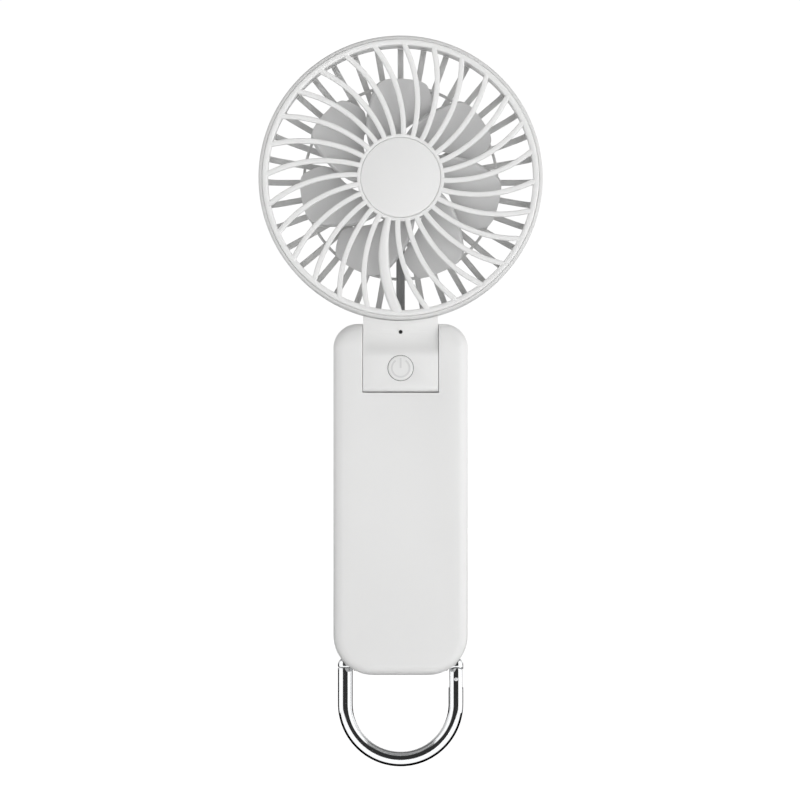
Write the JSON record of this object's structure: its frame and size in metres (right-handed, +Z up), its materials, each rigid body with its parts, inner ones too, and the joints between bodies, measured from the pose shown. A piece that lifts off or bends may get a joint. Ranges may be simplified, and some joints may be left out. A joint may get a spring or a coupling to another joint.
{
  "type": "handheld fan",
  "caption": "Palm-size electric fan: round caged head on a folding neck, flat box handle with a push button, and a chrome carabiner ring at the tail.",
  "frame": {"origin": "centre of the flat back face of the handle", "axes": "+X to the right seen from the front, +Y out of the back of the handle, +Z up towards the fan head; the front faces -Y"},
  "size_m": [0.0848, 0.0274, 0.2206],
  "materials": {
    "white_plastic": "satin",
    "button_plastic": "satin",
    "rotor_plastic": "satin",
    "dark_plastic": "satin",
    "board": "satin",
    "steel": "machined",
    "chrome": "polished",
    "copper": "enamelled wire",
    "magnet": "sintered",
    "cell": "film",
    "foam": "foam"
  },
  "bodies": {
    "handle": {"handle_front_shell": "white_plastic", "handle_back_shell": "white_plastic", "handle_screw_1": "steel", "handle_screw_2": "steel", "handle_screw_3": "steel", "handle_screw_4": "steel", "battery": "cell", "battery_front_pad": "foam", "battery_back_pad": "foam", "control_board": "board", "usb_c_socket": "steel", "usb_c_tongue": "dark_plastic", "battery_lead": "dark_plastic", "hinge_pin": "steel", "friction_washer_right": "steel", "friction_washer_left": "steel", "pin_retaining_ring": "steel"},
    "head": {"neck_front_cover": "white_plastic", "neck_back_cover": "white_plastic", "neck_screw_1": "steel", "neck_screw_2": "steel", "head_screw_1": "steel", "head_screw_2": "steel", "tact_switch": "dark_plastic", "button_board": "board", "indicator_lens": "dark_plastic", "head_rim": "white_plastic", "rear_grille": "white_plastic", "front_grille": "white_plastic", "hub_cap": "white_plastic", "motor_base": "dark_plastic", "motor_stator": "copper", "bearing_front": "steel", "bearing_rear": "steel", "motor_screw_1": "steel", "motor_screw_2": "steel", "motor_screw_3": "steel", "motor_lead": "dark_plastic"},
    "rotor": {"impeller": "rotor_plastic", "magnet_ring": "magnet", "motor_shaft": "steel"},
    "button": {"power_button": "button_plastic"},
    "gate": {"carabiner_gate": "chrome"},
    "bow": {"carabiner_bow": "chrome", "gate_rivet": "steel", "gate_spring": "steel"}
  },
  "joints": [
    {"name": "head_fold", "type": "hinge", "parent": "handle", "child": "head", "pos_m": [0, -0.01, 0.0424], "axis": [-1, 0, 0], "range_deg": [0, 90]},
    {"name": "rotor_spin", "type": "hinge", "parent": "head", "child": "rotor", "pos_m": [0, 0, 0.0965], "axis": [0, 1, 0], "continuous": true},
    {"name": "button_press", "type": "slide", "parent": "head", "child": "button", "axis": [0, 1, 0], "range_m": [0, 0.0006], "stiffness_N_per_m": 400},
    {"name": "ring_swing", "type": "hinge", "parent": "handle", "child": "gate", "pos_m": [0, -0.006, -0.05065], "axis": [1, 0, 0], "range_deg": [-20, 115]},
    {"name": "gate_open", "type": "hinge", "parent": "gate", "child": "bow", "pos_m": [0.01685, -0.006, -0.055], "axis": [0, -1, 0], "range_deg": [0, 25], "stiffness_Nm_per_rad": 0.02, "springref_deg": -28.65}
  ]
}
